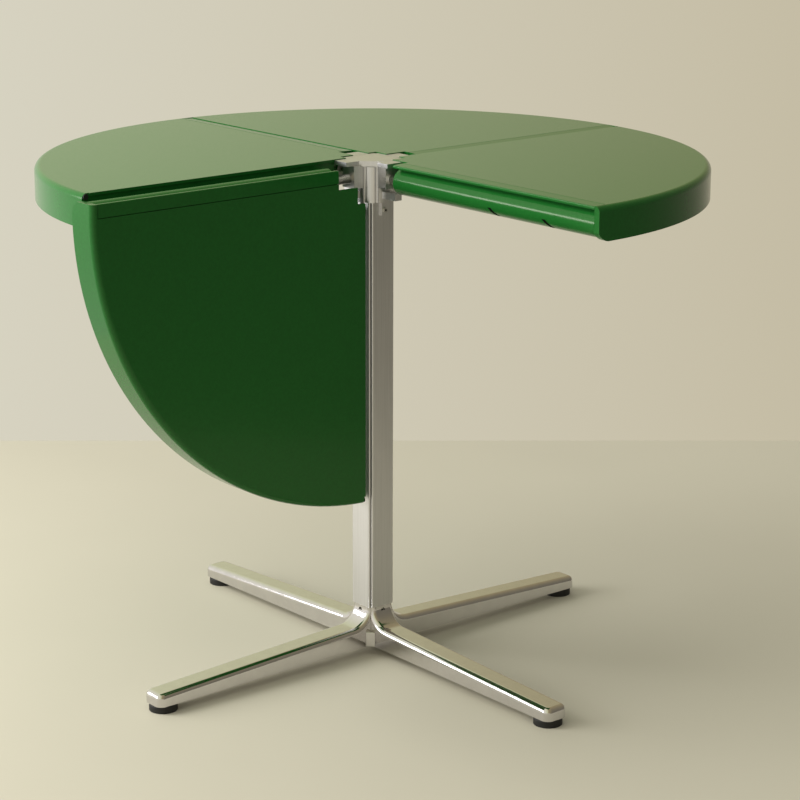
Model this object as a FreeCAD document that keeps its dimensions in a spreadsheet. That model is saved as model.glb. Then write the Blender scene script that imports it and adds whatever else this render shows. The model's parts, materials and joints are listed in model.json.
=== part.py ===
"""Round folding table: four quarter leaves on a four-armed hub, a split square column and a four-legged base.

Millimetres, +Z up, origin on the floor under the column. Each arm of the table is drawn along +X and
turned about Z into its place. A leaf turns about its arm's bar and moves out along it as it goes down.
"""
import FreeCAD, Part
import math
import os
import re

import Sketcher

Vector = FreeCAD.Vector

SIZES = {
    # the top
    "top_height": 730.0,
    "top_radius": 470.0,
    "rim_depth": 46.0,
    "rim_wall": 9.0,
    "skin": 4.0,
    "leaf_wall": 3.0,
    "corner_radius": 56.0,
    "notch_length": 11.0,
    "rim_round": 8.0,
    "seam_gap": 0.5,
    "free_wall_gap": 0.5,
    "hub_gap": 0.5,
    "bar_opening": 9.0,
    "stop_radius": 4.0,
    "stop_drop": 5.0,
    "panel_thickness": 2.5,
    "panel_gap": 0.2,
    "hang_slide": 15.0,
    "hang_angle": 90.0,
    # the hinge rail along a leaf's edge
    "axis_fall": 2.5,
    "rail_lift": 2.0,
    "rail_start": 66.0,
    "rail_back": 27.0,
    "rail_end_gap": 0.1,
    "lip_thickness": 4.5,
    "lip_round": 1.5,
    "lip_fall": 0.8,
    "line_place": 0.5,
    "line_width": 1.0,
    "nose_groove": 4.0,
    # the bar and the sleeve that slides on it
    "bar_radius": 7.0,
    "bar_start": 20.0,
    "bar_margin": 30.0,
    "bar_ease": 0.7,
    "running_gap": 0.08,
    "seat_gap": 0.05,
    "sleeve_wall": 1.9,
    "flange_radius": 10.8,
    "flange_length": 3.0,
    # the release paddle under the rail
    "paddle_centre": 325.0,
    "paddle_length": 104.0,
    "paddle_low_side": 4.0,
    "paddle_high_side": 10.0,
    "paddle_thickness": 6.0,
    "paddle_travel": 1.5,
    "paddle_gap": 0.4,
    "paddle_end_gap": 1.0,
    # the screws
    "leaf_screw_radius": 2.0,
    "leaf_screw_head": 4.0,
    "leaf_screw_length": 12.0,
    "leaf_screw_depth": 13.0,
    "leaf_screw_first": 110.0,
    "leaf_screw_margin": 45.0,
    "leaf_screw_count": 4.0,
    "screw_gap": 0.1,
    "set_screw_radius": 2.5,
    "set_screw_place": 37.0,
    "column_screw_radius": 2.0,
    "column_screw_head": 3.4,
    "column_screw_head_length": 2.5,
    "column_screw_sink": 2.0,
    # the hub
    "hub_radius": 29.0,
    "hub_depth": 60.0,
    "hub_socket_depth": 15.0,
    "flute_radius": 2.8,
    "flute_spread": 16.5,
    "boss_half": 12.8,
    "boss_reach": 44.0,
    "shelf_reach": 54.0,
    "shelf_thickness": 6.0,
    "shelf_gap": 0.5,
    "cap_half": 32.0,
    "cap_thickness": 8.0,
    "cap_low": 1.0,
    "cap_seat_gap": 0.2,
    "cap_notch": 5.0,
    "cap_front": 27.0,
    "tab_width": 12.0,
    "tab_reach": 56.0,
    "tab_depth": 10.0,
    "tab_rise": 6.0,
    "lug_width": 10.0,
    "lug_thickness": 3.5,
    "lug_length": 19.0,
    "lug_screw_drop": 8.0,
    # the column
    "column_half": 23.0,
    "post_round": 2.2,
    "post_gap": 0.3,
    "core_half": 9.0,
    "core_wall": 2.5,
    "core_gap": 0.1,
    "core_floor_gap": 14.0,
    "rod_radius": 4.0,
    "nut_across": 13.0,
    "nut_height": 6.5,
    "nut_room": 1.6,
    # the legs
    "casting_top": 72.0,
    "leg_under": 14.0,
    "leg_sweep": 28.0,
    "leg_slope": 2.5,
    "leg_half": 19.8,
    "leg_edge_round": 8.0,
    "leg_tip_round": 11.0,
    "leg_screw_drop": 7.0,
    "wedge_reach": 9.5,
    "wedge_height": 22.0,
    "wedge_gap": 0.2,
    # the feet
    "foot_place": 375.0,
    "pad_radius": 20.0,
    "pad_height": 11.0,
    "pad_round": 3.0,
    "pad_screw_radius": 2.0,
    "pad_screw_head": 4.5,
    "pad_screw_head_length": 2.5,
    "pad_screw_sink": 2.0,
    "pad_screw_bite": 12.0,
    # how far a cutting piece passes the face it cuts
    "overrun": 1.0,
}

# sizes that follow from those above
DERIVED = {
    "axis_drop": "(0.5 * rim_depth + axis_fall)",
    "nose_radius": "(rim_depth - rail_lift - axis_drop)",
    "paddle_depth": "(rim_depth - rail_lift - paddle_thickness)",
    "leaf_screw_step": "((top_radius - leaf_screw_margin - leaf_screw_first) / (leaf_screw_count - 1))",
    "bar_end": "(top_radius - bar_margin)",
}

ARMS = {"back": 0, "left": 90, "front": 180, "right": 270}
HANGING = "front"

doc = FreeCAD.newDocument("FoldingTable")
sheet = doc.addObject("Spreadsheet::Sheet", "Sizes")
for row, (alias, value) in enumerate(SIZES.items(), start=1):
    sheet.set(f"A{row}", alias)
    sheet.set(f"B{row}", str(value))
    sheet.setAlias(f"B{row}", alias)
doc.recompute()

CELL = re.compile(r"\b(" + "|".join(SIZES) + r")\b")
DERIVED_NAME = re.compile(r"\b(" + "|".join(DERIVED) + r")\b")
finished = {}


def spelled_out(text):
    """An expression with its derived sizes written in the sheet's cells."""
    while DERIVED_NAME.search(text):
        text = DERIVED_NAME.sub(lambda found: DERIVED[found.group()], text)
    return text


def bound(text):
    """An expression on the sheet's cells, as the other objects write it."""
    return CELL.sub(r"Sizes.\1", spelled_out(text))


def size(text):
    """The number that an expression on the sheet's cells comes to."""
    return float(sheet.evalExpression(spelled_out(text)))


def on_circle(radius, across):
    """How far along a circle of that radius lies, at a distance across from its axis."""
    return f"sqrt(({radius})^2 - ({across})^2)"


def bind(thing, **places):
    """Binds properties to the sheet; a double underscore stands for a dot."""
    for name, text in places.items():
        thing.setExpression(name.replace("__", "."), bound(text))


def new_body(name):
    return doc.addObject("PartDesign::Body", name)


def origin_plane(body, role):
    return next(f for f in body.Origin.OriginFeatures if f.Role == role)


def new_sketch(body, name, role, offset):
    sketch = body.newObject("Sketcher::SketchObject", name)
    sketch.AttachmentSupport = (origin_plane(body, role), [""])
    sketch.MapMode = "FlatFace"
    bind(sketch, AttachmentOffset__Base__z=offset)
    return sketch


def hold(sketch, geometry, vertex, across, up):
    """Fixes a point of the sketch at two expressions measured from the sketch's origin."""
    for kind, text, axis in (("DistanceX", across, -2), ("DistanceY", up, -1)):
        value = size(text)
        if abs(value) < 1e-9:
            sketch.addConstraint(Sketcher.Constraint("PointOnObject", geometry, vertex, axis))
            continue
        at = sketch.addConstraint(Sketcher.Constraint(kind, -1, 1, geometry, vertex, value))
        sketch.setExpression(f"Constraints[{at}]", bound(text))


def outline(body, name, role, offset, path):
    """A closed outline: each step is (across, up), or (across, up, radius, turn) for an arc that ends there.

    A turn of 1 has the arc's centre on the left of the way along, and -1 on the right.
    """
    sketch = new_sketch(body, name, role, offset)
    corners = [Vector(size(step[0]), size(step[1]), 0) for step in path]
    for n, step in enumerate(path):
        start = corners[n - 1]
        end = corners[n]
        if len(step) == 2:
            sketch.addGeometry(Part.LineSegment(start, end))
            continue
        radius = size(step[2])
        turn = step[3]
        chord = end - start
        left = Vector(-chord.y, chord.x, 0).normalize()
        rise = math.sqrt(max(radius ** 2 - chord.Length ** 2 / 4, 0))
        centre = (start + end) / 2 + left * rise * turn
        first = math.atan2(start.y - centre.y, start.x - centre.x)
        last = math.atan2(end.y - centre.y, end.x - centre.x)
        if turn < 0:
            first, last = last, first
        circle = Part.Circle(centre, Vector(0, 0, 1), radius)
        sketch.addGeometry(Part.ArcOfCircle(circle, first, last))
    for n, step in enumerate(path):
        before, after = ends_of(path[n - 1]), ends_of(step)
        sketch.addConstraint(
            Sketcher.Constraint("Coincident", (n - 1) % len(path), before[1], n, after[0])
        )
    for n, step in enumerate(path):
        hold(sketch, n, ends_of(step)[1], step[0], step[1])
        if len(step) > 2:
            at = sketch.addConstraint(Sketcher.Constraint("Radius", n, size(step[2])))
            sketch.setExpression(f"Constraints[{at}]", bound(step[2]))
    return sketch


def ends_of(step):
    """The numbers of a step's start and end points: an arc that turns right is drawn from its end."""
    return (2, 1) if len(step) > 2 and step[3] < 0 else (1, 2)


def circles(body, name, role, offset, places):
    """A sketch of full circles, each (across, up, radius)."""
    sketch = new_sketch(body, name, role, offset)
    for n, (across, up, radius) in enumerate(places):
        centre = Vector(size(across), size(up), 0)
        sketch.addGeometry(Part.Circle(centre, Vector(0, 0, 1), size(radius)))
        hold(sketch, n, 3, across, up)
        at = sketch.addConstraint(Sketcher.Constraint("Radius", n, size(radius)))
        sketch.setExpression(f"Constraints[{at}]", bound(radius))
    return sketch


def pad(body, sketch, length):
    feature = body.newObject("PartDesign::Pad", sketch.Name + "Pad")
    feature.Profile = sketch
    bind(feature, Length=length)
    doc.recompute()
    return feature


def pocket(body, sketch, length, forward):
    """Cuts the sketch into the body, along the sketch's normal if forward."""
    before = body.Shape.Volume
    feature = body.newObject("PartDesign::Pocket", sketch.Name + "Pocket")
    feature.Profile = sketch
    feature.Reversed = forward
    bind(feature, Length=length)
    doc.recompute()
    if body.Shape.Volume > before - 1e-6:
        raise RuntimeError(sketch.Name + " cuts nothing")
    return feature


def block(name, low, high):
    """A box between two corners, each three expressions."""
    box = doc.addObject("Part::Box", name)
    bind(box, Placement__Base__x=low[0], Placement__Base__y=low[1], Placement__Base__z=low[2])
    spans = [f"({b}) - ({a})" for a, b in zip(low, high)]
    bind(box, Length=spans[0], Width=spans[1], Height=spans[2])
    return box


def rod(name, radius, start, length, axis="Z"):
    """A cylinder from a start point along an axis of the table."""
    cylinder = doc.addObject("Part::Cylinder", name)
    turn = {"X": (Vector(0, 1, 0), 90), "-X": (Vector(0, 1, 0), -90), "Y": (Vector(1, 0, 0), -90)}
    if axis in turn:
        cylinder.Placement = FreeCAD.Placement(Vector(), FreeCAD.Rotation(*turn[axis]))
    bind(cylinder, Radius=radius, Height=length)
    bind(cylinder, Placement__Base__x=start[0], Placement__Base__y=start[1], Placement__Base__z=start[2])
    return cylinder


def fused(name, pieces):
    joined = doc.addObject("Part::MultiFuse", name)
    joined.Shapes = pieces
    joined.Refine = True
    return joined


def cut(name, base, tools):
    result = doc.addObject("Part::Cut", name)
    result.Base = base
    result.Tool = tools[0] if len(tools) == 1 else fused(name + "Tools", tools)
    result.Refine = True
    return result


def grouped(name, pieces):
    """Separate solids that share one node."""
    group = doc.addObject("Part::Compound", name)
    group.Links = pieces
    return group


def placed(name, thing, place):
    """Gives a finished sub-part its name and its place in the table."""
    thing.Label = name
    thing.Placement = place
    finished[name] = thing


def arm_place(arm):
    return FreeCAD.Placement(Vector(), FreeCAD.Rotation(Vector(0, 0, 1), ARMS[arm]))


def slid_place(arm):
    """An arm's place, moved out along its bar where the leaf hangs."""
    out = size("hang_slide") if arm == HANGING else 0
    return arm_place(arm).multiply(FreeCAD.Placement(Vector(out, 0, 0), FreeCAD.Rotation()))


def leaf_place(arm):
    """A leaf's place: level, or turned down about its bar."""
    place = slid_place(arm)
    if arm != HANGING:
        return place
    pivot = Vector(0, 0, size("top_height - axis_drop"))
    turn = FreeCAD.Rotation(Vector(1, 0, 0), -size("hang_angle"))
    return place.multiply(FreeCAD.Placement(Vector(), turn, pivot))


STRIP_EDGE = "nose_radius + seam_gap"
HUB_OPENING = "cap_half + hub_gap"
FREE_WALL = "rim_depth - axis_drop + free_wall_gap"
AXIS_HEIGHT = "top_height - axis_drop"
BORE_RADIUS = "bar_radius + 2 * running_gap + sleeve_wall"
SLEEVE_RADIUS = "bar_radius + running_gap + sleeve_wall"
RIM_INNER = "top_radius - rim_wall"
RAIL_END = f"{on_circle(RIM_INNER, 'rail_back')} - rail_end_gap"
SCREW_HEIGHT = "top_height - leaf_screw_depth"


def ring_region(back, free, inner, outer):
    """A quarter ring between two straight edges and two circles."""
    return [
        (on_circle(inner, back), back, inner, -1),
        (on_circle(outer, back), back),
        (free, on_circle(outer, free), outer, 1),
        (free, on_circle(inner, free)),
    ]


def leaf_screw_places():
    count = int(size("leaf_screw_count"))
    return [f"leaf_screw_first + {n} * leaf_screw_step" for n in range(count)]


def make_leaf_top(arm):
    body = new_body(f"LeafTop_{arm}")
    shell = outline(
        body, f"Shell_{arm}", "XY_Plane", "top_height - rim_depth",
        ring_region("rail_back", FREE_WALL, "corner_radius", "top_radius"),
    )
    pad(body, shell, "rim_depth - skin")
    notch_end = f"{on_circle('top_radius', FREE_WALL)} - notch_length"
    skin = outline(body, f"Skin_{arm}", "XY_Plane", "top_height - skin", [
        (HUB_OPENING, "bar_opening"),
        ("rail_start", "bar_opening"),
        ("rail_start", "line_place"),
        (on_circle("top_radius", "line_place"), "line_place"),
        (FREE_WALL, on_circle("top_radius", FREE_WALL), "top_radius", 1),
        (FREE_WALL, notch_end),
        (STRIP_EDGE, notch_end),
        (STRIP_EDGE, HUB_OPENING),
        (HUB_OPENING, HUB_OPENING),
    ])
    pad(body, skin, "skin")
    end = outline(body, f"RimEnd_{arm}", "XY_Plane", "top_height - rim_depth", [
        (on_circle(RIM_INNER, "nose_radius"), "-nose_radius", RIM_INNER, -1),
        (on_circle("top_radius", "nose_radius"), "-nose_radius"),
        (on_circle("top_radius", "rail_back + leaf_wall"), "rail_back + leaf_wall", "top_radius", 1),
        (on_circle(RIM_INNER, "rail_back + leaf_wall"), "rail_back + leaf_wall"),
    ])
    pad(body, end, "rim_depth")
    hollow = outline(
        body, f"Hollow_{arm}", "XY_Plane", "top_height - rim_depth",
        ring_region(
            "rail_back + leaf_wall", f"{FREE_WALL} + leaf_wall", "corner_radius + leaf_wall", RIM_INNER
        ),
    )
    pocket(body, hollow, "rim_depth - skin", True)
    lifted = outline(
        body, f"WallLift_{arm}", "XY_Plane", "top_height - rim_depth",
        ring_region("rail_back - overrun", f"{FREE_WALL} - overrun", "corner_radius - overrun", RIM_INNER),
    )
    pocket(body, lifted, "rail_lift", True)
    swing = "rim_depth - axis_drop"
    relief = "nose_radius + overrun"
    trim = outline(body, f"RimEndTrim_{arm}", "YZ_Plane", f"{RIM_INNER} - rim_wall", [
        ("0", f"{AXIS_HEIGHT} - ({swing})"),
        (f"-({relief})", f"{AXIS_HEIGHT} - {on_circle(swing, relief)}", swing, -1),
        (f"-({relief})", f"{AXIS_HEIGHT} - ({swing}) - overrun"),
        ("0", f"{AXIS_HEIGHT} - ({swing}) - overrun"),
    ])
    pocket(body, trim, "4 * rim_wall", True)
    holes = circles(body, f"ScrewHoles_{arm}", "XZ_Plane", "-(rail_back - 0.5 * leaf_wall)", [
        (place, SCREW_HEIGHT, "leaf_screw_radius + screw_gap") for place in leaf_screw_places()
    ])
    pocket(body, holes, "2 * leaf_wall", False)
    soften_rim(body, arm)
    placed(f"leaf_top_{arm}", body, leaf_place(arm))


def soften_rim(body, arm):
    """Rounds the top edge of the rim."""
    tip = body.Tip
    edges = []
    for n, edge in enumerate(tip.Shape.Edges, start=1):
        level = abs(edge.Vertexes[0].Z - size("top_height")) < 1e-6
        curved = isinstance(edge.Curve, Part.Circle)
        if level and curved and abs(edge.Curve.Radius - size("top_radius")) < 1e-6:
            edges.append(f"Edge{n}")
    fillet = body.newObject("PartDesign::Fillet", f"RimRound_{arm}")
    fillet.Base = (tip, edges)
    bind(fillet, Radius="rim_round")
    doc.recompute()


def make_rim_stop(arm):
    """A rubber stop in the notch at the free end of a leaf's rim."""
    along = f"{on_circle('top_radius', FREE_WALL)} - 0.5 * notch_length"
    start = (FREE_WALL, along, "top_height - stop_drop")
    stop = rod(f"StopButton_{arm}", "stop_radius", start, f"{FREE_WALL} - ({STRIP_EDGE})", "-X")
    placed(f"rim_stop_{arm}", grouped(f"RimStop_{arm}", [stop]), leaf_place(arm))


def make_leaf_panel(arm):
    body = new_body(f"LeafPanel_{arm}")
    sheet_region = outline(
        body, f"Panel_{arm}", "XY_Plane", RAIL_FLOOR,
        ring_region(
            "rail_back + leaf_wall + panel_gap",
            f"{FREE_WALL} + leaf_wall + panel_gap",
            "corner_radius + leaf_wall + panel_gap",
            f"{RIM_INNER} - panel_gap",
        ),
    )
    pad(body, sheet_region, "panel_thickness")
    placed(f"under_panel_{arm}", body, leaf_place(arm))


RAIL_FLOOR = "top_height - rim_depth + rail_lift"
NOSE_TOP = "top_height - lip_thickness - nose_groove"
NOSE_TOP_ACROSS = f"-({on_circle('nose_radius', 'axis_drop - lip_thickness - nose_groove')})"


def make_rail(arm):
    body = new_body(f"Rail_{arm}")
    line_edge = "line_place - line_width"
    profile = outline(body, f"RailProfile_{arm}", "YZ_Plane", "rail_start", [
        ("rail_back", "top_height - skin"),
        (line_edge, "top_height - skin"),
        (line_edge, "top_height"),
        ("lip_round - nose_radius", "top_height - lip_fall"),
        ("-nose_radius", "top_height - lip_fall - lip_round", "lip_round", 1),
        ("-nose_radius", "top_height - lip_thickness"),
        (NOSE_TOP_ACROSS, "top_height - lip_thickness"),
        (NOSE_TOP_ACROSS, NOSE_TOP),
        ("0", RAIL_FLOOR, "nose_radius", 1),
        ("rail_back", RAIL_FLOOR),
    ])
    length = f"{RAIL_END} - rail_start"
    pad(body, profile, length)
    bore = circles(body, f"RailBore_{arm}", "YZ_Plane", "rail_start", [("0", AXIS_HEIGHT, BORE_RADIUS)])
    pocket(body, bore, length, True)
    seat = circles(
        body, f"RailSeat_{arm}", "YZ_Plane", "rail_start",
        [("0", AXIS_HEIGHT, "flange_radius + running_gap")],
    )
    pocket(body, seat, "flange_length + running_gap", True)
    room_start = "paddle_centre - 0.5 * paddle_length - paddle_end_gap"
    room_roof = "top_height - paddle_depth + paddle_travel + paddle_gap"
    room = outline(body, f"PaddleRoom_{arm}", "YZ_Plane", room_start, [
        ("-(paddle_low_side + paddle_gap)", room_roof),
        ("-(paddle_low_side + paddle_gap)", "top_height - rim_depth - overrun"),
        ("paddle_high_side + paddle_gap", "top_height - rim_depth - overrun"),
        ("paddle_high_side + paddle_gap", room_roof),
    ])
    pocket(body, room, "paddle_length + 2 * paddle_end_gap", True)
    pilots = circles(body, f"RailPilots_{arm}", "XZ_Plane", "-rail_back", [
        (place, SCREW_HEIGHT, "leaf_screw_radius + screw_gap") for place in leaf_screw_places()
    ])
    pocket(body, pilots, "leaf_screw_length - leaf_wall", True)
    placed(f"hinge_rail_{arm}", body, leaf_place(arm))


def make_paddle(arm):
    body = new_body(f"Paddle_{arm}")
    profile = outline(body, f"PaddleProfile_{arm}", "YZ_Plane", "paddle_centre - 0.5 * paddle_length", [
        ("paddle_high_side", "top_height - paddle_depth"),
        ("-paddle_low_side", "top_height - paddle_depth"),
        ("-paddle_low_side", f"{AXIS_HEIGHT} - {on_circle('nose_radius', 'paddle_low_side')}"),
        ("0", RAIL_FLOOR, "nose_radius", 1),
        ("paddle_high_side", RAIL_FLOOR),
    ])
    pad(body, profile, "paddle_length")
    placed(f"release_paddle_{arm}", body, leaf_place(arm))


def make_sleeve(arm):
    body = new_body(f"Sleeve_{arm}")
    inner = "bar_radius + running_gap"
    tube = circles(
        body, f"SleeveTube_{arm}", "YZ_Plane", "rail_start",
        [("0", AXIS_HEIGHT, SLEEVE_RADIUS), ("0", AXIS_HEIGHT, inner)],
    )
    pad(body, tube, f"{RAIL_END} - rail_start")
    flange = circles(
        body, f"SleeveFlange_{arm}", "YZ_Plane", "rail_start",
        [("0", AXIS_HEIGHT, "flange_radius"), ("0", AXIS_HEIGHT, inner)],
    )
    pad(body, flange, "flange_length")
    placed(f"slide_sleeve_{arm}", body, slid_place(arm))


def make_leaf_screws(arm):
    screws = []
    for n, place in enumerate(leaf_screw_places()):
        start = (place, "rail_back + leaf_wall - leaf_screw_length", SCREW_HEIGHT)
        shank = rod(f"LeafShank_{arm}{n}", "leaf_screw_radius", start, "leaf_screw_length", "Y")
        head = doc.addObject("Part::Cone", f"LeafHead_{arm}{n}")
        head.Placement = FreeCAD.Placement(Vector(), FreeCAD.Rotation(Vector(1, 0, 0), -90))
        bind(head, Radius1="leaf_screw_head", Radius2="leaf_screw_radius", Height="leaf_screw_radius")
        bind(
            head, Placement__Base__x=place, Placement__Base__y="rail_back + leaf_wall",
            Placement__Base__z=SCREW_HEIGHT,
        )
        screws.append(fused(f"LeafScrew_{arm}{n}", [shank, head]))
    placed(f"leaf_screws_{arm}", grouped(f"LeafScrews_{arm}", screws), leaf_place(arm))


def make_bar(arm):
    bar = rod(f"Bar_{arm}", "bar_radius", ("bar_start", "0", AXIS_HEIGHT), "bar_end - bar_start", "X")
    eased = doc.addObject("Part::Chamfer", f"BarEased_{arm}")
    doc.recompute()
    eased.Base = bar
    ends = [n for n, edge in enumerate(bar.Shape.Edges, start=1) if edge.Closed]
    eased.Edges = [(n, size("bar_ease"), size("bar_ease")) for n in ends]
    placed(f"arm_bar_{arm}", eased, arm_place(arm))


def turned(name, thing, degrees):
    """A copy of a piece, turned about the column."""
    copy = doc.addObject("Part::Compound", name)
    copy.Links = [thing]
    copy.Placement = FreeCAD.Placement(Vector(), FreeCAD.Rotation(Vector(0, 0, 1), degrees))
    return copy


def all_round(name, make):
    """One piece for each arm, as a group of separate solids."""
    return grouped(name, [turned(f"{name}At{degrees}", make(degrees), degrees) for degrees in ARMS.values()])


HUB_FLOOR = "top_height - hub_depth"
HUB_ROOF = "top_height - cap_low - cap_thickness - cap_seat_gap"
SHELF_FLOOR = "top_height - cap_low - shelf_thickness"
LUG_FACE = "column_half + lug_thickness"
LUG_SCREW_HEIGHT = f"{HUB_FLOOR} - lug_length + lug_screw_drop"


def make_hub():
    pieces = [rod("HubDrum", "hub_radius", ("0", "0", HUB_FLOOR), f"({HUB_ROOF}) - ({HUB_FLOOR})")]
    tools = []
    for degrees in ARMS.values():
        tab = block(
            f"HubTab{degrees}", ("0", "-0.5 * tab_width", f"{HUB_FLOOR} + tab_rise"),
            ("tab_reach", "0.5 * tab_width", f"{HUB_FLOOR} + tab_rise + tab_depth"),
        )
        boss = block(
            f"HubBoss{degrees}", ("0", "-boss_half", f"{AXIS_HEIGHT} - boss_half"),
            ("boss_reach", "boss_half", HUB_ROOF),
        )
        rise = block(
            f"HubRise{degrees}", (HUB_OPENING, "-boss_half", AXIS_HEIGHT),
            ("boss_reach", "boss_half", SHELF_FLOOR),
        )
        shelf = block(
            f"HubShelf{degrees}", (HUB_OPENING, f"shelf_gap - ({STRIP_EDGE})", SHELF_FLOOR),
            ("shelf_reach", "bar_opening - shelf_gap", "top_height - cap_low"),
        )
        lug = block(
            f"HubLug{degrees}", ("column_half", "-0.5 * lug_width", f"{HUB_FLOOR} - lug_length"),
            (LUG_FACE, "0.5 * lug_width", f"{HUB_FLOOR} + tab_rise"),
        )
        pieces.append(turned(f"HubBossAt{degrees}", boss, degrees))
        pieces.append(turned(f"HubRiseAt{degrees}", rise, degrees))
        pieces.append(turned(f"HubShelfAt{degrees}", shelf, degrees))
        pieces.append(turned(f"HubTabAt{degrees}", tab, degrees))
        pieces.append(turned(f"HubLugAt{degrees}", lug, degrees))
        flutes = []
        for n, side in enumerate((-1, 1)):
            start = (
                f"hub_radius * cos(45 + {side} * flute_spread)",
                f"hub_radius * sin(45 + {side} * flute_spread)", f"{HUB_FLOOR} - overrun",
            )
            flutes.append(rod(f"HubFlute{degrees}n{n}", "flute_radius", start, "hub_depth + 2 * overrun"))
        bar_seat = rod(
            f"HubBarSeat{degrees}", "bar_radius + seat_gap", ("bar_start", "0", AXIS_HEIGHT), "boss_reach",
            "X",
        )
        set_hole = rod(
            f"HubSetHole{degrees}", "set_screw_radius + screw_gap",
            ("set_screw_place", "0", f"{HUB_FLOOR} - overrun"), "hub_depth - axis_drop",
        )
        lug_hole = rod(
            f"HubLugHole{degrees}", "column_screw_radius + screw_gap",
            ("column_half - overrun", "0", LUG_SCREW_HEIGHT), "lug_thickness + 2 * overrun", "X",
        )
        for n, tool in enumerate([*flutes, bar_seat, set_hole, lug_hole]):
            tools.append(turned(f"HubCut{degrees}n{n}", tool, degrees))
    socket = "core_half + core_gap"
    tools.append(block(
        "HubSocket", (f"-({socket})", f"-({socket})", f"{HUB_FLOOR} - overrun"),
        (socket, socket, f"{HUB_FLOOR} + hub_socket_depth"),
    ))
    tools.append(rod("HubRodHole", "rod_radius + screw_gap", ("0", "0", HUB_FLOOR), "hub_depth"))
    tools.append(rod(
        "HubNutRoom", "nut_across / sqrt(3) + nut_room", ("0", "0", f"{HUB_ROOF} - nut_height"),
        "nut_height + overrun",
    ))
    hub = cut("Hub", fused("HubBlank", pieces), tools)
    placed("hub_casting", hub, FreeCAD.Placement())

    plate = block(
        "CapPlate", ("-cap_half", "-cap_half", f"{HUB_ROOF} + cap_seat_gap"),
        ("cap_half", "cap_half", "top_height - cap_low"),
    )
    notches = [
        turned(
            f"CapNotchAt{degrees}",
            rod(f"CapNotch{degrees}", "cap_notch", ("cap_half", "cap_half", HUB_ROOF), "2 * cap_thickness"),
            degrees,
        )
        for degrees in ARMS.values()
    ]
    front = block(
        "CapFront", ("cap_front", "-2 * cap_half", HUB_ROOF), ("2 * cap_half", "2 * cap_half", "top_height")
    )
    notches.append(turned("CapFrontAt", front, ARMS[HANGING] + 45))
    placed("hub_cap", cut("Cap", plate, notches), FreeCAD.Placement())

    def set_screw(degrees):
        start = ("set_screw_place", "0", f"{AXIS_HEIGHT} - boss_half")
        return rod(f"SetScrew{degrees}", "set_screw_radius", start, "boss_half - bar_radius")

    placed("bar_set_screws", all_round("SetScrews", set_screw), FreeCAD.Placement())


def column_screw(name, face, height):
    """A screw through a face of the column into the core, its head sunk under that face."""
    head_face = f"{face} - column_screw_sink"
    head = rod(
        name + "Head", "column_screw_head", (f"{head_face} - column_screw_head_length", "0", height),
        "column_screw_head_length", "X",
    )
    shank = rod(
        name + "Shank", "column_screw_radius", ("core_half - core_wall", "0", height),
        f"{head_face} - core_half + core_wall", "X",
    )
    return fused(name, [head, shank])


def column_screw_hole(name, face, height):
    head = rod(
        name + "Head", "column_screw_head + screw_gap",
        (f"{face} - column_screw_sink - column_screw_head_length", "0", height),
        "column_screw_sink + column_screw_head_length + overrun", "X",
    )
    shank = rod(name + "Shank", "column_screw_radius + screw_gap", ("0", "0", height), face, "X")
    return [head, shank]


LEG_SCREW_HEIGHT = "casting_top - leg_screw_drop"


def make_core():
    tube = cut(
        "CoreTube",
        block(
            "CoreBlank", ("-core_half", "-core_half", "core_floor_gap"),
            ("core_half", "core_half", f"{HUB_FLOOR} + hub_socket_depth - core_gap"),
        ),
        [
            block(
                "CoreBore",
                ("-(core_half - core_wall)", "-(core_half - core_wall)", "core_floor_gap + core_wall"),
                ("core_half - core_wall", "core_half - core_wall", "top_height"),
            ),
            rod("CoreRodHole", "rod_radius + screw_gap", ("0", "0", "0"), "top_height"),
            *[
                turned(
                    f"CoreHole{degrees}n{n}",
                    rod(
                        f"CoreDrill{degrees}n{n}", "column_screw_radius + screw_gap", ("0", "0", height),
                        "core_half + overrun", "X",
                    ),
                    degrees,
                )
                for degrees in ARMS.values()
                for n, height in enumerate((LEG_SCREW_HEIGHT, LUG_SCREW_HEIGHT))
            ],
        ],
    )
    placed("core_tube", tube, FreeCAD.Placement())
    tie = rod(
        "TieRod", "rod_radius", ("0", "0", "core_floor_gap - nut_height"),
        f"{HUB_ROOF} - core_floor_gap + nut_height",
    )
    placed("tie_rod", tie, FreeCAD.Placement())
    nuts = []
    for name, height in (("LowNut", "core_floor_gap - nut_height"), ("HighNut", f"{HUB_ROOF} - nut_height")):
        prism = doc.addObject("Part::Prism", name + "Blank")
        prism.Polygon = 6
        bind(prism, Circumradius="nut_across / sqrt(3)", Height="nut_height", Placement__Base__z=height)
        hole = rod(name + "Hole", "rod_radius", ("0", "0", height), "nut_height")
        nuts.append(cut(name, prism, [hole]))
    placed("tie_rod_nuts", grouped("Nuts", nuts), FreeCAD.Placement())
    lug_head = f"{LUG_FACE} + column_screw_sink + column_screw_head_length"
    for name, face, height in (
        ("leg_screws", "column_half", LEG_SCREW_HEIGHT), ("post_screws", lug_head, LUG_SCREW_HEIGHT),
    ):
        group = all_round(name, lambda degrees: column_screw(f"{name}{degrees}", face, height))
        placed(name, group, FreeCAD.Placement())


def wedge_outline(body, name):
    """The plan of one quarter of the column, with its two outer edges rounded."""
    near = "core_half - post_gap"
    far = "column_half - post_gap"
    ease = "post_round / tan(22.5)"
    slant = f"{ease} * cos(45)"
    return outline(body, name, "XY_Plane", "casting_top", [
        ("core_half", f"-({near})"),
        (f"column_half - {slant}", f"-({far} - {slant})"),
        ("column_half", f"-({far} - {ease})", "post_round", 1),
        ("column_half", f"{far} - {ease}"),
        (f"column_half - {slant}", f"{far} - {slant}", "post_round", 1),
        ("core_half", near),
    ])


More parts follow.
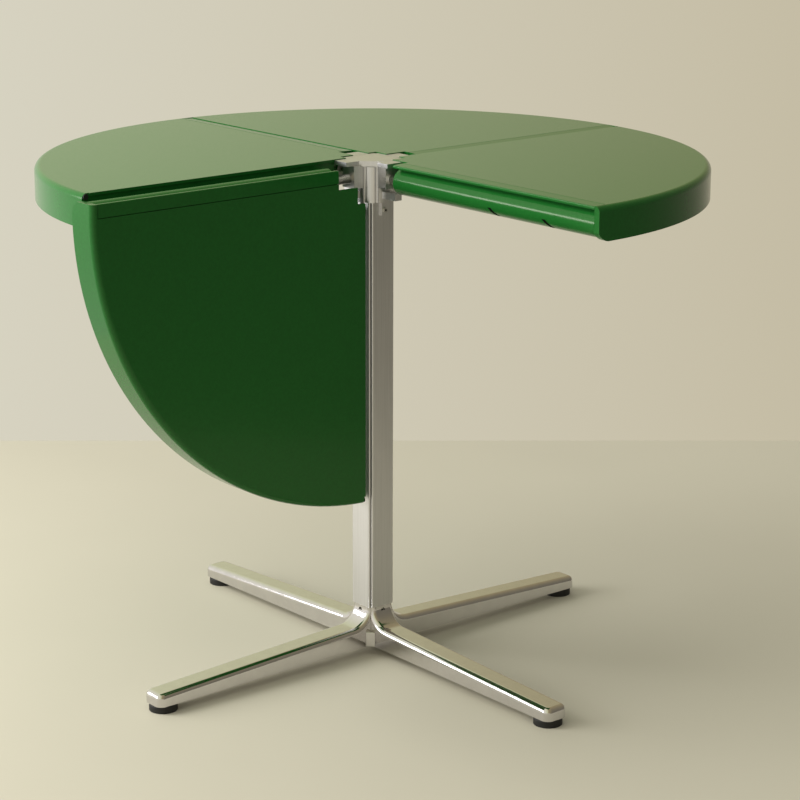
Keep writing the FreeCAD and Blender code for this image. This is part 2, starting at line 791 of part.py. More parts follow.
def make_post(arm):
    body = new_body(f"Post_{arm}")
    plan = wedge_outline(body, f"PostPlan_{arm}")
    pad(body, plan, f"{HUB_FLOOR} - casting_top")
    hole = circles(
        body, f"PostHole_{arm}", "YZ_Plane", "0",
        [("0", LUG_SCREW_HEIGHT, "column_screw_radius + screw_gap")],
    )
    pocket(body, hole, "column_half + overrun", True)
    placed(f"column_post_{arm}", body, arm_place(arm))


TIP_REACH = "foot_place + leg_half"
SWEEP_END = "column_half + leg_sweep - leg_sweep * sin(leg_slope)"
SWEEP_HEIGHT = "casting_top - leg_sweep * cos(leg_slope)"
TIP_HEIGHT = f"{SWEEP_HEIGHT} - ({TIP_REACH} - ({SWEEP_END})) * tan(leg_slope)"


def round_edges(fillet, solid):
    """Rounds the upper edges of a leg, from its tip up to the column."""
    chosen = []
    for n, edge in enumerate(solid.Shape.Edges, start=1):
        first = edge.valueAt(edge.FirstParameter)
        last = edge.valueAt(edge.LastParameter)
        high = min(first.z, last.z) > size(TIP_HEIGHT) - 1e-6
        outside = min(first.x, last.x) > size("column_half") - 1e-6
        across = abs(first.y + last.y) < 1e-6 and abs(first.x - last.x) < 1e-6
        inside_tip = first.x < size(TIP_REACH) - 1e-6
        if high and outside and not (across and inside_tip):
            chosen.append((n, size("leg_edge_round"), size("leg_edge_round")))
    fillet.Edges = chosen


def make_leg(arm):
    side = new_body(f"LegSide_{arm}")
    profile = outline(side, f"LegProfile_{arm}", "XZ_Plane", "-column_half", [
        ("core_half", "casting_top"),
        ("core_half", "leg_under"),
        (TIP_REACH, "pad_height"),
        (TIP_REACH, TIP_HEIGHT),
        (SWEEP_END, SWEEP_HEIGHT),
        ("column_half", "casting_top", "leg_sweep", -1),
    ])
    pad(side, profile, "2 * column_half")
    plan = new_body(f"LegPlan_{arm}")
    above = outline(plan, f"LegOutline_{arm}", "XY_Plane", "0", [
        ("core_half", "-leg_half"),
        (f"{TIP_REACH} - leg_tip_round", "-leg_half"),
        (TIP_REACH, "leg_tip_round - leg_half", "leg_tip_round", 1),
        (TIP_REACH, "leg_half - leg_tip_round"),
        (f"{TIP_REACH} - leg_tip_round", "leg_half", "leg_tip_round", 1),
        ("core_half", "leg_half"),
    ])
    pad(plan, above, "casting_top + overrun")
    solid = doc.addObject("Part::Common", f"LegBlank_{arm}")
    solid.Base = side
    solid.Tool = plan
    solid.Refine = True
    doc.recompute()
    rounded = doc.addObject("Part::Fillet", f"LegRounded_{arm}")
    rounded.Base = solid
    round_edges(rounded, solid)
    mitre = new_body(f"LegMitre_{arm}")
    near = "core_half - post_gap"
    far = f"{TIP_REACH} + overrun"
    quarter = outline(mitre, f"LegQuarter_{arm}", "XY_Plane", "0", [
        ("core_half", f"-({near})"),
        (far, f"-({far} - post_gap)"),
        (far, f"{far} - post_gap"),
        ("core_half", near),
    ])
    pad(mitre, quarter, "casting_top + overrun")
    mitred = doc.addObject("Part::Common", f"LegMitred_{arm}")
    mitred.Base = rounded
    mitred.Tool = mitre
    foot_hole = rod(
        f"LegFootHole_{arm}", "pad_screw_radius + screw_gap", ("foot_place", "0", "0"),
        "pad_height + pad_screw_bite + screw_gap",
    )
    screw_hole = column_screw_hole(f"LegScrewHole_{arm}", "column_half", LEG_SCREW_HEIGHT)
    leg = cut(f"Leg_{arm}", mitred, [foot_hole, *screw_hole])
    placed(f"leg_{arm}", leg, arm_place(arm))


def make_feet():
    def pad_piece(degrees):
        disc = rod(f"PadDisc{degrees}", "pad_radius", ("foot_place", "0", "0"), "pad_height")
        doc.recompute()
        eased = doc.addObject("Part::Fillet", f"PadEased{degrees}")
        eased.Base = disc
        rims = [
            n for n, edge in enumerate(disc.Shape.Edges, start=1)
            if edge.Closed and edge.Vertexes[0].Z > size("pad_height") / 2
        ]
        eased.Edges = [(n, size("pad_round"), size("pad_round")) for n in rims]
        through = rod(
            f"PadHole{degrees}", "pad_screw_radius + screw_gap", ("foot_place", "0", "0"),
            "pad_height + overrun",
        )
        sink = rod(
            f"PadSink{degrees}", "pad_screw_head + screw_gap", ("foot_place", "0", "0"),
            "pad_screw_sink + pad_screw_head_length",
        )
        return cut(f"Pad{degrees}", eased, [through, sink])

    def pad_screw(degrees):
        head = rod(
            f"PadScrewHead{degrees}", "pad_screw_head", ("foot_place", "0", "pad_screw_sink"),
            "pad_screw_head_length",
        )
        shank = rod(
            f"PadShank{degrees}", "pad_screw_radius", ("foot_place", "0", "pad_screw_sink"),
            "pad_height + pad_screw_bite - pad_screw_sink",
        )
        return fused(f"PadScrew{degrees}", [head, shank])

    placed("foot_pads", all_round("Pads", pad_piece), FreeCAD.Placement())
    placed("foot_screws", all_round("PadScrews", pad_screw), FreeCAD.Placement())


def make_wedges():
    def wedge(degrees):
        body = new_body(f"Wedge{degrees}")
        near = "leg_half + wedge_gap"
        plan = outline(body, f"WedgePlan{degrees}", "XY_Plane", "leg_under", [
            (near, near),
            (f"{near} + wedge_reach", near),
            (near, f"{near} + wedge_reach"),
        ])
        pad(body, plan, "wedge_height")
        return body

    placed("corner_wedges", all_round("Wedges", wedge), FreeCAD.Placement())


def main():
    make_hub()
    make_core()
    make_feet()
    make_wedges()
    for arm in ARMS:
        make_bar(arm)
        make_post(arm)
        make_leg(arm)
        make_sleeve(arm)
        make_rail(arm)
        make_paddle(arm)
        make_leaf_top(arm)
        make_leaf_panel(arm)
        make_leaf_screws(arm)
        make_rim_stop(arm)
    doc.recompute()
    for thing in doc.Objects:
        if "Invalid" in thing.State or "Error" in thing.State:
            raise RuntimeError(f"{thing.Name} failed: {thing.State}")
    for name, thing in finished.items():
        if thing.Shape.isNull() or not thing.Shape.isValid():
            raise RuntimeError(f"{name} has no valid shape")
    os.makedirs("parts", exist_ok=True)
    for name, thing in finished.items():
        thing.Shape.exportStep(f"parts/{name}.step")
        print(name, len(thing.Shape.Solids), round(thing.Shape.Volume / 1000, 2), "cm3")


main()
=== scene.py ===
"""Dresses the round folding table: green moulded leaves, satin hub and column, polished cross base."""
import json
import math

import bmesh
import bpy
from mathutils import Matrix, Vector


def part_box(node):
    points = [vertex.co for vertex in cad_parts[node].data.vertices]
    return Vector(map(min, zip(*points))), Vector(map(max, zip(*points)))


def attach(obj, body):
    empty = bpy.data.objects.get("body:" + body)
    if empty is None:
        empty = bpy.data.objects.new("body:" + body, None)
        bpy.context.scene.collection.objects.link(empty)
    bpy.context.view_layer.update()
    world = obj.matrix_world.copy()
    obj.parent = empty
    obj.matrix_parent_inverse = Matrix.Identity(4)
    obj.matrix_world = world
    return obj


bl_info = {
    "name": "Round Folding Table",
    "version": (1, 0, 0),
    "blender": (4, 5, 0),
    "location": "View3D > Sidebar > Folding Table",
    "description": "Finishes the leaves, hub, column and feet of a round folding table",
    "category": "Object",
}

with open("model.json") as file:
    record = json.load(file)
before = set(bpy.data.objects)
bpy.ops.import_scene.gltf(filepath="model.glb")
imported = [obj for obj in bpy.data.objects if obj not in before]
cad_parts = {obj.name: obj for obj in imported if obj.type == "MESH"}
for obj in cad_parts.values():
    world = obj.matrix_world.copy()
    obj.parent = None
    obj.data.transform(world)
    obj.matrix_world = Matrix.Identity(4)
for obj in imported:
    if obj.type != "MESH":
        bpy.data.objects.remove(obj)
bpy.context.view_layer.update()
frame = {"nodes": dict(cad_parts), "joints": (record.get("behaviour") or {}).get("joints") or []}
NODES = frame["nodes"]
JOINTS = {joint["name"]: joint for joint in frame["joints"]}
ARMS = [name[: -len("_hinge")] for name in JOINTS if name.endswith("_hinge")]
LEVEL_ARM = "back"
MILLIMETRE = 0.001
UP = Vector((0, 0, 1))

# how the pieces' meshes are joined, eased and shaded
WELD_REACH = 0.01 * MILLIMETRE
EASE_STEPS = 2
EASED_FROM = math.radians(40)
LARGE_FACES = 80

# the small pieces: screws under a panel, and painted shade for the hex sockets and the paddle slits
PANEL_SCREW_SHARES = (0.2, 0.6)
RIM_SCREW_ANGLES = tuple(math.radians(angle) for angle in (11, 34, 57, 80))
SCREW_TAPER = 0.7
SCREW_SIDES = 24
SOCKET_SIDES = 6
SOCKET_LIFT = 0.05 * MILLIMETRE
SLIT_STEPS = 10

# how far a surface is bare metal
METAL = 1.0
NON_METAL = 0.0

# the grain of each surface in cycles per metre, and the part of the noise that it spreads over
GRAIN_REACH = (0.3, 0.7)
GRAIN_DETAIL = 3.0
RELIEF_DEPTH = 0.1 * MILLIMETRE
MOULDED_GRAIN = (260.0, 260.0, 260.0)
CAST_GRAIN = (70.0, 70.0, 70.0)
DRAWN_GRAIN = (900.0, 900.0, 9.0)
TURNED_GRAIN = (600.0, 600.0, 600.0)
FLOOR_GRAIN = (3.0, 3.0, 3.0)

# where the room changes, as shares of a reading from 0 against a direction to 1 along it
LEFT_OF_VIEW = 0.42
RIGHT_OF_VIEW = 0.58
HORIZON = 0.5
HIGH_WALL = 0.6
DARK_FROM = 0.3
BRIGHT_FROM = 0.85

# how far the room's light comes from above for each step that it comes from the left
LIT_RISE = 0.8

# width of the camera's sensor in millimetres
SENSOR_WIDTH = 36.0


def arm_direction(arm):
    """The way an arm points, from the hub outwards."""
    return Vector(JOINTS[f"{arm}_slide"]["axis"])


def leaf_matrix(arm):
    """Takes a point from a level leaf drawn along +X to the leaf's place at rest."""
    hinge = JOINTS[f"{arm}_hinge"]
    axis_height = hinge["pos_m"][2]
    drop = math.radians(-min(0.0, hinge["range_deg"][0]))
    slide = -min(0.0, JOINTS[f"{arm}_slide"]["range_m"][0])
    heading = arm_direction(arm)
    turn = Matrix.Rotation(math.atan2(heading.y, heading.x), 4, "Z")
    lift = Matrix.Translation((0, 0, axis_height))
    swing = lift @ Matrix.Rotation(-drop, 4, "X") @ lift.inverted()
    return turn @ Matrix.Translation((slide, 0, 0)) @ swing


def arm_matrix(arm):
    """Takes a point from an arm drawn along +X to that arm's place."""
    heading = arm_direction(arm)
    return Matrix.Rotation(math.atan2(heading.y, heading.x), 4, "Z")


class TableFinish(bpy.types.PropertyGroup):
    """Colours and surface of the table's materials."""

    leaf_green: bpy.props.FloatVectorProperty(
        name="Leaf green", description="Colour of the moulded leaves", subtype="COLOR",
        size=3, min=0, max=1, default=(0.013, 0.128, 0.020),
    )
    leaf_roughness: bpy.props.FloatProperty(
        name="Leaf roughness", description="How dull the moulded leaves are", min=0, max=1,
        default=0.18,
    )
    leaf_coat: bpy.props.FloatProperty(
        name="Leaf coat", description="Weight of the clear gloss over the moulded leaves", min=0, max=1,
        default=0.2,
    )
    leaf_coat_index: bpy.props.FloatProperty(
        name="Leaf coat index", description="Refractive index of that clear gloss", min=1, max=2,
        default=1.25,
    )
    leaf_sheen: bpy.props.FloatVectorProperty(
        name="Leaf sheen", description="Tint of the reflections off the moulded leaves",
        subtype="COLOR", size=3, min=0, max=1, default=(1.0, 0.97, 0.8),
    )
    leaf_specular: bpy.props.FloatProperty(
        name="Leaf specular", description="Strength of the reflection off the bare moulding",
        min=0, max=1, default=0.25,
    )
    polished_metal: bpy.props.FloatVectorProperty(
        name="Polished metal", description="Colour of the leg castings", subtype="COLOR",
        size=3, min=0, max=1, default=(0.68, 0.66, 0.67),
    )
    polished_roughness: bpy.props.FloatProperty(
        name="Polish", description="How dull the leg castings are", min=0, max=1, default=0.09,
    )
    satin_metal: bpy.props.FloatVectorProperty(
        name="Satin metal", description="Colour of the hub and the column", subtype="COLOR",
        size=3, min=0, max=1, default=(0.69, 0.685, 0.70),
    )
    satin_roughness: bpy.props.FloatProperty(
        name="Satin", description="How dull the hub and the column are", min=0, max=1, default=0.36,
    )
    fastener_steel: bpy.props.FloatVectorProperty(
        name="Fastener steel", description="Colour of the bars, rods and screws", subtype="COLOR",
        size=3, min=0, max=1, default=(0.60, 0.59, 0.56),
    )
    steel_roughness: bpy.props.FloatProperty(
        name="Steel roughness", description="How dull the bars, rods and screws are", min=0, max=1,
        default=0.3,
    )
    # this black colours the rubber feet and stops, and also the painted shade in the screw sockets and
    # paddle slits
    rubber_and_shade_black: bpy.props.FloatVectorProperty(
        name="Foot rubber", description="Colour of the feet and the rim stops", subtype="COLOR",
        size=3, min=0, max=1, default=(0.005, 0.005, 0.005),
    )
    rubber_roughness: bpy.props.FloatProperty(
        name="Rubber roughness", description="How dull the feet and the stops are", min=0, max=1,
        default=0.6,
    )
    bearing_plastic: bpy.props.FloatVectorProperty(
        name="Bearing plastic", description="Colour of the sleeves on the bars", subtype="COLOR",
        size=3, min=0, max=1, default=(0.62, 0.60, 0.54),
    )
    bearing_roughness: bpy.props.FloatProperty(
        name="Bearing roughness", description="How dull the sleeves are", min=0, max=1, default=0.45,
    )
    edge_ease: bpy.props.FloatProperty(
        name="Edge ease", description="Width of the soft edge on moulded and cast pieces",
        subtype="DISTANCE", unit="LENGTH", min=0, default=0.0006,
    )


class TableDetail(bpy.types.PropertyGroup):
    """Sizes of the small pieces added to the table."""

    # the socket and slit sizes below shape flat marks of painted shade, not cuts in the parts
    socket_radius: bpy.props.FloatProperty(
        name="Socket radius", description="Corner radius of the hex socket in a column screw",
        subtype="DISTANCE", unit="LENGTH", min=0, default=0.0018,
    )
    panel_screw_radius: bpy.props.FloatProperty(
        name="Panel screw radius", description="Radius of the screw heads under a leaf",
        subtype="DISTANCE", unit="LENGTH", min=0, default=0.0045,
    )
    panel_screw_height: bpy.props.FloatProperty(
        name="Panel screw height", description="How far those heads stand out",
        subtype="DISTANCE", unit="LENGTH", min=0, default=0.0012,
    )
    slit_width: bpy.props.FloatProperty(
        name="Slit width", description="Width of the slit at each end of a paddle", subtype="DISTANCE",
        unit="LENGTH", min=0, default=0.0065,
    )
    slit_rise: bpy.props.FloatProperty(
        name="Slit rise", description="How far the slit's shade lies off the rail", subtype="DISTANCE",
        unit="LENGTH", min=0, default=0.0001,
    )
    slit_lean: bpy.props.FloatProperty(
        name="Slit lean", description="How far the slit leans along the rail", subtype="DISTANCE",
        unit="LENGTH", min=0, default=0.0105,
    )
    slit_start: bpy.props.FloatProperty(
        name="Slit start", description="Angle from the rail's foot to the slit's lower end",
        subtype="ANGLE", default=math.radians(24),
    )
    slit_sweep: bpy.props.FloatProperty(
        name="Slit sweep", description="Angle that the slit climbs round the rail", subtype="ANGLE",
        default=math.radians(48),
    )
    panel_screw_inset: bpy.props.FloatProperty(
        name="Panel screw inset", description="Distance of those screws from the panel's edges",
        subtype="DISTANCE", unit="LENGTH", min=0, default=0.016,
    )


class TableStage(bpy.types.PropertyGroup):
    """The photograph's view, the floor and the lamps."""

    view_angle: bpy.props.FloatProperty(
        name="View angle", description="Direction of the camera about the table, from +X",
        subtype="ANGLE", default=math.radians(230.49),
    )
    view_elevation: bpy.props.FloatProperty(
        name="View elevation", description="Angle of the camera above the level it looks at",
        subtype="ANGLE", default=math.radians(15.15),
    )
    view_distance: bpy.props.FloatProperty(
        name="View distance", description="Distance of the camera from what it looks at",
        subtype="DISTANCE", unit="LENGTH", default=3.563,
    )
    view_height: bpy.props.FloatProperty(
        name="View height", description="Height of the point that the camera looks at",
        subtype="DISTANCE", unit="LENGTH", default=0.378,
    )
    lens: bpy.props.FloatProperty(
        name="Lens", description="Focal length on a sensor 36 mm wide", subtype="DISTANCE_CAMERA",
        unit="CAMERA", default=111.63,
    )
    shift: bpy.props.FloatProperty(
        name="Shift", description="Sideways shift of the frame, as a share of its width",
        default=0.0341,
    )
    floor_reach: bpy.props.FloatProperty(
        name="Floor reach", description="Distance from the column to the floor's edges",
        subtype="DISTANCE", unit="LENGTH", default=1.1,
    )
    floor_colour: bpy.props.FloatVectorProperty(
        name="Floor colour", description="Colour of the floor", subtype="COLOR", size=3, min=0, max=1,
        default=(0.57, 0.54, 0.43),
    )
    floor_roughness: bpy.props.FloatProperty(
        name="Floor roughness", description="How dull the floor is", min=0, max=1, default=0.75,
    )
    backdrop_left: bpy.props.FloatVectorProperty(
        name="Backdrop, left", description="Colour behind the table on the lit side",
        subtype="COLOR", size=3, min=0, max=1, default=(0.68, 0.65, 0.535),
    )
    backdrop_right: bpy.props.FloatVectorProperty(
        name="Backdrop, right", description="Colour behind the table on the far side from the lamp",
        subtype="COLOR", size=3, min=0, max=1, default=(0.56, 0.51, 0.38),
    )
    high_wall_left: bpy.props.FloatVectorProperty(
        name="High wall, left", description="Colour of the wall that the top mirrors on the lit side",
        subtype="COLOR", size=3, min=0, max=1, default=(0.77, 0.79, 0.52),
    )
    high_wall_right: bpy.props.FloatVectorProperty(
        name="High wall, right", description="Colour of the wall that the top mirrors on the dark side",
        subtype="COLOR", size=3, min=0, max=1, default=(0.375, 0.315, 0.176),
    )
    room_bright: bpy.props.FloatVectorProperty(
        name="Room, lit side", description="Colour of the room on the lamp's side",
        subtype="COLOR", size=3, min=0, max=1, default=(1.0, 0.97, 0.88),
    )
    room_dark: bpy.props.FloatVectorProperty(
        name="Room, dark side", description="Colour of the room far from the lamp",
        subtype="COLOR", size=3, min=0, max=1, default=(0.18, 0.165, 0.125),
    )
    room_light: bpy.props.FloatProperty(
        name="Room light", description="Strength of the light from the room's bright side",
        min=0, default=1.0,
    )
    room_shade: bpy.props.FloatProperty(
        name="Room shade", description="Strength of the light from the room's dark side",
        min=0, default=0.05,
    )
    key_power: bpy.props.FloatProperty(
        name="Key power", description="Power of the large lamp on the left",
        subtype="POWER", unit="POWER", min=0, default=44.0,
    )
    key_turn: bpy.props.FloatProperty(
        name="Key turn", description="Direction of the lamps, from the camera's towards the left",
        subtype="ANGLE", default=math.radians(85),
    )
    key_elevation: bpy.props.FloatProperty(
        name="Key elevation", description="Height of the lamp as an angle", subtype="ANGLE",
        default=math.radians(37),
    )
    key_reach: bpy.props.FloatProperty(
        name="Key reach", description="Distance of the lamps from the table",
        subtype="DISTANCE", unit="LENGTH", default=2.8,
    )
    key_width: bpy.props.FloatProperty(
        name="Key width", description="Width of the large lamp", subtype="DISTANCE", unit="LENGTH",
        default=1.6,
    )
    box_power: bpy.props.FloatProperty(
        name="Softbox power", description="Power of the low lamp on the left",
        subtype="POWER", unit="POWER", min=0, default=40.0,
    )
    box_size: bpy.props.FloatVectorProperty(
        name="Softbox size", description="Width and height of the low lamp", subtype="XYZ_LENGTH",
        unit="LENGTH", size=2, default=(2.0, 0.7),
    )
    box_elevation: bpy.props.FloatProperty(
        name="Softbox elevation", description="Height of the low lamp as an angle", subtype="ANGLE",
        default=math.radians(11),
    )


def settings(group):
    """One of the table's groups of settings on the scene."""
    return getattr(bpy.context.scene, group)


def finish_material(name, colour, metallic, roughness, grain, shade=0.06, spread=0.05, bump=0.1):
    """A surface whose colour, gloss and level vary over a grain given along X, Y and Z."""
    material = bpy.data.materials.new(name)
    material.use_nodes = True
    nodes = material.node_tree.nodes
    join = material.node_tree.links.new
    shader = nodes["Principled BSDF"]
    shader.inputs["Metallic"].default_value = metallic
    place = nodes.new("ShaderNodeTexCoord")
    mapping = nodes.new("ShaderNodeMapping")
    mapping.inputs["Scale"].default_value = grain
    noise = nodes.new("ShaderNodeTexNoise")
    noise.inputs["Scale"].default_value = 1.0
    noise.inputs["Detail"].default_value = GRAIN_DETAIL
    join(place.outputs["Object"], mapping.inputs["Vector"])
    join(mapping.outputs["Vector"], noise.inputs["Vector"])
    tint = nodes.new("ShaderNodeValToRGB")
    for stop, position, share in zip(tint.color_ramp.elements, GRAIN_REACH, (1 - shade, 1 + shade)):
        stop.position = position
        stop.color = (*(min(1.0, channel * share) for channel in colour), 1.0)
    join(noise.outputs["Fac"], tint.inputs["Fac"])
    join(tint.outputs["Color"], shader.inputs["Base Color"])
    gloss = nodes.new("ShaderNodeMapRange")
    gloss.inputs["From Min"].default_value = GRAIN_REACH[0]
    gloss.inputs["From Max"].default_value = GRAIN_REACH[1]
    gloss.inputs["To Min"].default_value = max(0.0, roughness - spread)
    gloss.inputs["To Max"].default_value = roughness + spread
    join(noise.outputs["Fac"], gloss.inputs["Value"])
    join(gloss.outputs["Result"], shader.inputs["Roughness"])
    if bump:
        relief = nodes.new("ShaderNodeBump")
        relief.inputs["Strength"].default_value = bump
        relief.inputs["Distance"].default_value = RELIEF_DEPTH
        join(noise.outputs["Fac"], relief.inputs["Height"])
        join(relief.outputs["Normal"], shader.inputs["Normal"])
    return material


def shade_material(name):
    """Painted shade for a recess: a flat black, borrowed from the rubber, that reflects nothing."""
    finish = settings("table_finish")
    dark = finish_material(
        name, finish.rubber_and_shade_black, NON_METAL, finish.rubber_roughness, TURNED_GRAIN, shade=0.3,
    )
    dark.node_tree.nodes["Principled BSDF"].inputs["Specular IOR Level"].default_value = 0.0
    return dark


def dress(names, material, ease=0.0):
    """Puts a material on CAD nodes and softens their edges."""
    for name in names:
        node = NODES[name]
        node.data.materials.clear()
        node.data.materials.append(material)
        weld = node.modifiers.new("Join the triangles", "WELD")
        weld.merge_threshold = WELD_REACH
        if ease:
            soft = node.modifiers.new("Soft edges", "BEVEL")
            soft.width = ease
            soft.segments = EASE_STEPS
            soft.limit_method = "ANGLE"
            soft.angle_limit = EASED_FROM
            soft.use_clamp_overlap = True
            even = node.modifiers.new("Even shading", "WEIGHTED_NORMAL")
            even.mode = "FACE_AREA"
            even.weight = LARGE_FACES
            even.keep_sharp = True


def named(*starts):
    """The CAD nodes whose names start with one of these words."""
    return sorted(name for name in NODES if name.startswith(starts))


def new_piece(name, mesh_maker, material, body):
    """A piece made with bmesh operators, riding on a body of the table."""
    mesh = bpy.data.meshes.new(name)
    shape = bmesh.new()
    mesh_maker(shape)
    bmesh.ops.recalc_face_normals(shape, faces=shape.faces)
    shape.to_mesh(mesh)
    shape.free()
    mesh.materials.append(material)
    piece = bpy.data.objects.new(name, mesh)
    bpy.context.scene.collection.objects.link(piece)
    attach(piece, body)
    return piece


class TABLE_OT_leaves(bpy.types.Operator):
    """Finish the leaves, their rails, panels and paddles"""

    bl_idname = "folding_table.leaves"
    bl_label = "Green leaves"

    def execute(self, context):
        finish = settings("table_finish")
        green = finish_material(
            "Moulded green", finish.leaf_green, NON_METAL, finish.leaf_roughness, MOULDED_GRAIN,
            spread=0.03, bump=0.01,
        )
        shader = green.node_tree.nodes["Principled BSDF"]
        shader.inputs["Specular IOR Level"].default_value = finish.leaf_specular
        shader.inputs["Specular Tint"].default_value = (*finish.leaf_sheen, 1.0)
        shader.inputs["Coat Weight"].default_value = finish.leaf_coat
        shader.inputs["Coat IOR"].default_value = finish.leaf_coat_index
        dress(named("leaf_top", "hinge_rail", "under_panel", "release_paddle"), green, finish.edge_ease)
        return {"FINISHED"}


class TABLE_OT_base(bpy.types.Operator):
    """Finish the polished legs and the wedge blocks between them"""

    bl_idname = "folding_table.base"
    bl_label = "Polished base"

    def execute(self, context):
        finish = settings("table_finish")
        polish = finish_material(
            "Polished casting", finish.polished_metal, METAL, finish.polished_roughness, CAST_GRAIN,
            shade=0.03, spread=0.03, bump=0.15,
        )
        legs = [f"leg_{arm}" for arm in sorted(ARMS)]
        dress([*legs, "corner_wedges"], polish, finish.edge_ease)
        return {"FINISHED"}


class TABLE_OT_column(bpy.types.Operator):
    """Finish the hub and the four posts of the column"""

    bl_idname = "folding_table.column"
    bl_label = "Satin hub and column"

    def execute(self, context):
        finish = settings("table_finish")
        satin = finish_material(
            "Satin metal", finish.satin_metal, METAL, finish.satin_roughness, DRAWN_GRAIN, spread=0.06,
        )
        dress(named("hub_", "column_post"), satin, finish.edge_ease)
        return {"FINISHED"}


class TABLE_OT_fittings(bpy.types.Operator):
    """Finish the bars, rods, sleeves and screws"""

    bl_idname = "folding_table.fittings"
    bl_label = "Bars and fasteners"

    def execute(self, context):
        finish = settings("table_finish")
        steel = finish_material(
            "Bright steel", finish.fastener_steel, METAL, finish.steel_roughness, TURNED_GRAIN,
        )
        bearing = finish_material(
            "Bearing plastic", finish.bearing_plastic, NON_METAL, finish.bearing_roughness, MOULDED_GRAIN,
        )
        dress(
            named("arm_bar", "core_tube", "tie_rod", "leaf_screws")
            + ["bar_set_screws", "leg_screws", "post_screws", "foot_screws"],
            steel,
        )
        dress(named("slide_sleeve"), bearing)
        return {"FINISHED"}


class TABLE_OT_rubber(bpy.types.Operator):
    """Finish the feet and the stops at the rim's ends"""

    bl_idname = "folding_table.rubber"
    bl_label = "Rubber feet and stops"

    def execute(self, context):
        finish = settings("table_finish")
        rubber = finish_material(
            "Black rubber", finish.rubber_and_shade_black, NON_METAL, finish.rubber_roughness, TURNED_GRAIN,
            shade=0.3, bump=0.4,
        )
        dress(named("foot_pads", "rim_stop"), rubber, finish.edge_ease)
        return {"FINISHED"}


class TABLE_OT_panel_screws(bpy.types.Operator):
    """Add the screw heads that hold the panel under each leaf"""

    bl_idname = "folding_table.panel_screws"
    bl_label = "Panel screws"

    def execute(self, context):
        detail = settings("table_detail")
        finish = settings("table_finish")
        steel = finish_material(
            "Panel screw steel", finish.fastener_steel, METAL, finish.steel_roughness, TURNED_GRAIN,
        )
        for arm in ARMS:
            self.screws_under(arm, detail, steel)
        return {"FINISHED"}

    def screws_under(self, arm, detail, steel):
        place = leaf_matrix(arm)
        back = place.inverted()
        low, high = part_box(f"under_panel_{arm}")
        corners = [back @ Vector(corner) for corner in (low, high)]
        near = Vector([min(c[n] for c in corners) for n in range(3)])
        far = Vector([max(c[n] for c in corners) for n in range(3)])
        inset = detail.panel_screw_inset
        reach = math.hypot(far.x, near.y) - inset
        spots = [
            Vector((near.x + (far.x - near.x) * share, near.y + inset, near.z))
            for share in PANEL_SCREW_SHARES
        ]
        spots += [
            Vector((near.x + inset, near.y + (far.y - near.y) * share, near.z))
            for share in PANEL_SCREW_SHARES
        ]
        spots += [
            Vector((reach * math.cos(angle), reach * math.sin(angle), near.z))
            for angle in RIM_SCREW_ANGLES
        ]
        half_height = detail.panel_screw_height / 2

        def heads(shape):
            for spot in spots:
                bmesh.ops.create_cone(
                    shape, cap_ends=True, segments=SCREW_SIDES,
                    radius1=SCREW_TAPER * detail.panel_screw_radius,
                    radius2=detail.panel_screw_radius, depth=detail.panel_screw_height,
                    matrix=place @ Matrix.Translation(spot - half_height * UP),
                )

        new_piece(f"panel_screws_{arm}", heads, steel, f"{arm}_leaf")


class TABLE_OT_socket_shade(bpy.types.Operator):
    """Add black hexes of painted shade where the screws of the column have their hex sockets"""

    bl_idname = "folding_table.sockets"
    bl_label = "Screw sockets"

    def execute(self, context):
        detail = settings("table_detail")
        dark = shade_material("Socket shade")
        for name in ("post_screws", "leg_screws"):
            low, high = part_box(name)
            height = (low[2] + high[2]) / 2
            face = high[0]

            # the sockets are not cut: a flat black hex just off each screw's face is painted shade for
            # the recess
            def hex_shades(shape):
                for arm in ARMS:
                    look_out = Matrix.Rotation(math.radians(90), 4, "Y")
                    at = Matrix.Translation((face + SOCKET_LIFT, 0, height))
                    bmesh.ops.create_circle(
                        shape, cap_ends=True, segments=SOCKET_SIDES, radius=detail.socket_radius,
                        matrix=arm_matrix(arm) @ at @ look_out,
                    )

            new_piece(f"{name}_sockets", hex_shades, dark, "base")
        return {"FINISHED"}


class TABLE_OT_paddle_slit_shade(bpy.types.Operator):
    """Add bands of painted shade for the slits where the ends of a paddle meet the round of its rail"""

    bl_idname = "folding_table.paddle_slits"
    bl_label = "Paddle slits"

    def execute(self, context):
        detail = settings("table_detail")
        dark = shade_material("Slit shade")
        axis_height = JOINTS[f"{LEVEL_ARM}_hinge"]["pos_m"][2]
        nose_radius = axis_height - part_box(f"hinge_rail_{LEVEL_ARM}")[0][2]
        low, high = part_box(f"release_paddle_{LEVEL_ARM}")
        for arm in ARMS:
            place = leaf_matrix(arm)

            # each slit is a thin black band lying just off the rail's round: painted shade for the gap at
            # the paddle's end
            def slits(shape):
                for end in (low[0], high[0]):
                    self.slit(shape, end, nose_radius, axis_height, detail)
                bmesh.ops.transform(shape, matrix=place, verts=shape.verts)

            new_piece(f"paddle_slits_{arm}", slits, dark, f"{arm}_leaf")
        return {"FINISHED"}

    def slit(self, shape, end, nose_radius, axis_height, detail):
        """A narrow band of painted shade that goes down the round of the rail to a point and leans away
        from the hub.
        """
        axis = Vector((0, 0, axis_height))
        reach = nose_radius + detail.slit_rise
        turn = Matrix.Rotation(-detail.slit_start - detail.slit_sweep, 3, "X")
        start = axis + turn @ Vector((end - detail.slit_lean, 0, -reach))
        half = Vector((detail.slit_width / 2, 0, 0))
        edge = shape.edges.new([shape.verts.new(start - half), shape.verts.new(start + half)])
        made = bmesh.ops.spin(
            shape, geom=[*edge.verts, edge], cent=axis, axis=(1, 0, 0), angle=detail.slit_sweep,
            dvec=(detail.slit_lean / SLIT_STEPS, 0, 0), steps=SLIT_STEPS,
        )
        tip = [item for item in made["geom_last"] if isinstance(item, bmesh.types.BMVert)]
        bmesh.ops.pointmerge(shape, verts=tip, merge_co=sum((v.co for v in tip), Vector()) / len(tip))


